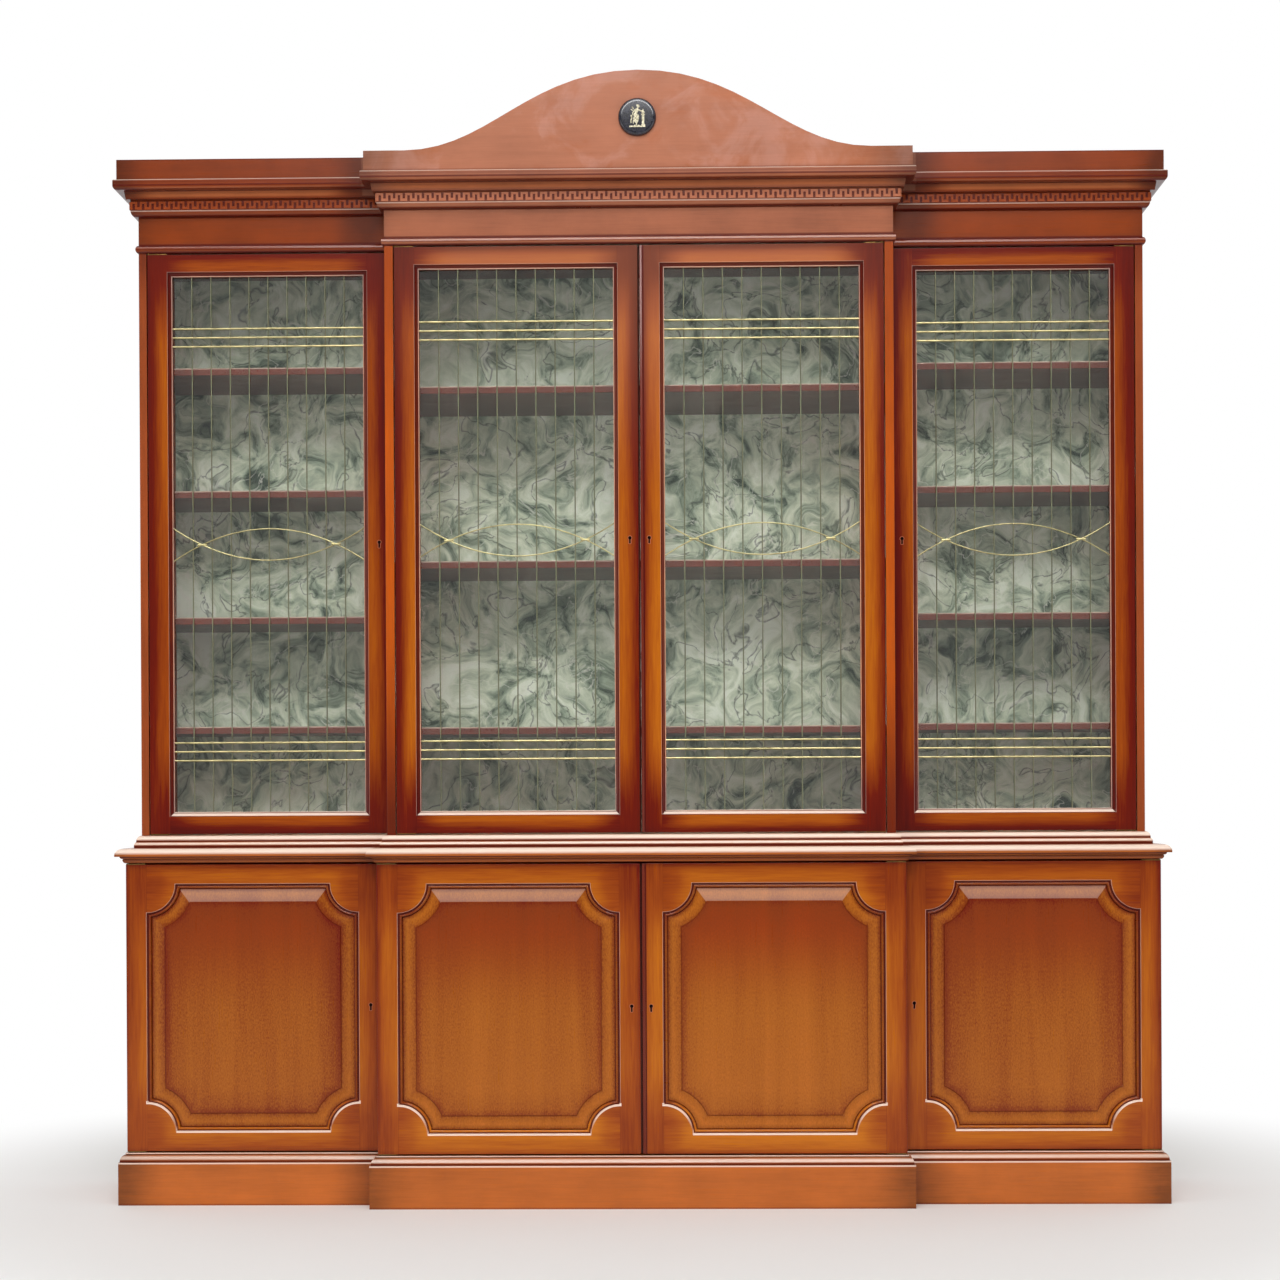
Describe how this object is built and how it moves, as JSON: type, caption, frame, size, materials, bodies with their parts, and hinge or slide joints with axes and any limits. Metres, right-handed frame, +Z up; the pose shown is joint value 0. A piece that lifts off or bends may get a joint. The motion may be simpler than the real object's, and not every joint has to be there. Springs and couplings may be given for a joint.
{
  "type": "breakfront cabinet",
  "caption": "Breakfront cabinet with a forward centre section, glazed doors with brass grilles above panelled base doors, and a shaped pediment.",
  "frame": {"origin": "on the floor, at the middle of the cabinet's width and depth", "axes": "+X to the viewer's right, +Y from the front to the wall, +Z up"},
  "size_m": [2.192, 0.425, 2.34],
  "materials": {
    "case_mahogany": "mahogany under a warm gloss lacquer",
    "door_mahogany": "mahogany under a warm gloss lacquer",
    "panel_mahogany": "mahogany veneer under lacquer",
    "cornice_mahogany": "mahogany under lacquer",
    "shelf_mahogany": "stained mahogany, satin",
    "board_inside": "bare plywood",
    "papered_board": "plywood faced with marbled paper in grey, ivory and green",
    "glass": "clear window glass",
    "grille_brass": "lacquered brass wire, aged",
    "hinge_brass": "plain brass",
    "medallion": "black glazed disc with gilt ornament"
  },
  "bodies": {
    "carcass": {"plinth": "case_mahogany", "base_floor": "case_mahogany", "base_end_left": "case_mahogany", "base_end_right": "case_mahogany", "base_partition_left": "case_mahogany", "base_partition_right": "case_mahogany", "counter_top": "case_mahogany", "upper_floor": "case_mahogany", "upper_end_left": "case_mahogany", "upper_end_right": "case_mahogany", "upper_partition_left": "case_mahogany", "upper_partition_right": "case_mahogany", "upper_top": "case_mahogany", "base_back": "board_inside", "upper_back": "papered_board", "cornice": "cornice_mahogany", "pediment": "cornice_mahogany", "medallion": "medallion", "shelf_left_1": "shelf_mahogany", "shelf_left_2": "shelf_mahogany", "shelf_left_3": "shelf_mahogany", "shelf_left_4": "shelf_mahogany", "shelf_centre_1": "shelf_mahogany", "shelf_centre_2": "shelf_mahogany", "shelf_centre_3": "shelf_mahogany", "shelf_right_1": "shelf_mahogany", "shelf_right_2": "shelf_mahogany", "shelf_right_3": "shelf_mahogany", "shelf_right_4": "shelf_mahogany", "base_shelf_left_1": "shelf_mahogany", "base_shelf_centre_1": "shelf_mahogany", "base_shelf_right_1": "shelf_mahogany"},
    "upper_door_left": {"glazed_frame_left": "door_mahogany", "glass_left": "glass", "grille_left": "grille_brass", "upper_hinge_left": "hinge_brass"},
    "upper_door_right": {"glazed_frame_right": "door_mahogany", "glass_right": "glass", "grille_right": "grille_brass", "upper_hinge_right": "hinge_brass"},
    "upper_door_centre_left": {"glazed_frame_centre_left": "door_mahogany", "glass_centre_left": "glass", "grille_centre_left": "grille_brass", "upper_hinge_centre_left": "hinge_brass"},
    "upper_door_centre_right": {"glazed_frame_centre_right": "door_mahogany", "glass_centre_right": "glass", "grille_centre_right": "grille_brass", "upper_hinge_centre_right": "hinge_brass"},
    "base_door_left": {"base_frame_left": "door_mahogany", "base_panel_left": "panel_mahogany", "base_hinge_left": "hinge_brass"},
    "base_door_right": {"base_frame_right": "door_mahogany", "base_panel_right": "panel_mahogany", "base_hinge_right": "hinge_brass"},
    "base_door_centre_left": {"base_frame_centre_left": "door_mahogany", "base_panel_centre_left": "panel_mahogany", "base_hinge_centre_left": "hinge_brass"},
    "base_door_centre_right": {"base_frame_centre_right": "door_mahogany", "base_panel_centre_right": "panel_mahogany", "base_hinge_centre_right": "hinge_brass"}
  },
  "joints": [
    {"name": "upper_door_left_swing", "type": "hinge", "parent": "carcass", "child": "upper_door_left", "pos_m": [-1.029, -0.0945, 0.772], "axis": [0, 0, -1], "range_deg": [0, 95]},
    {"name": "upper_door_right_swing", "type": "hinge", "parent": "carcass", "child": "upper_door_right", "pos_m": [1.029, -0.0945, 0.772], "axis": [0, 0, 1], "range_deg": [0, 95]},
    {"name": "upper_door_centre_left_swing", "type": "hinge", "parent": "carcass", "child": "upper_door_centre_left", "pos_m": [-0.504, -0.1515, 0.772], "axis": [0, 0, -1], "range_deg": [0, 95]},
    {"name": "upper_door_centre_right_swing", "type": "hinge", "parent": "carcass", "child": "upper_door_centre_right", "pos_m": [0.504, -0.1515, 0.772], "axis": [0, 0, 1], "range_deg": [0, 95]},
    {"name": "base_door_left_swing", "type": "hinge", "parent": "carcass", "child": "base_door_left", "pos_m": [-1.072, -0.1295, 0.111], "axis": [0, 0, -1], "range_deg": [0, 95]},
    {"name": "base_door_right_swing", "type": "hinge", "parent": "carcass", "child": "base_door_right", "pos_m": [1.072, -0.1295, 0.111], "axis": [0, 0, 1], "range_deg": [0, 95]},
    {"name": "base_door_centre_left_swing", "type": "hinge", "parent": "carcass", "child": "base_door_centre_left", "pos_m": [-0.541, -0.1865, 0.111], "axis": [0, 0, -1], "range_deg": [0, 95]},
    {"name": "base_door_centre_right_swing", "type": "hinge", "parent": "carcass", "child": "base_door_centre_right", "pos_m": [0.541, -0.1865, 0.111], "axis": [0, 0, 1], "range_deg": [0, 95]}
  ]
}
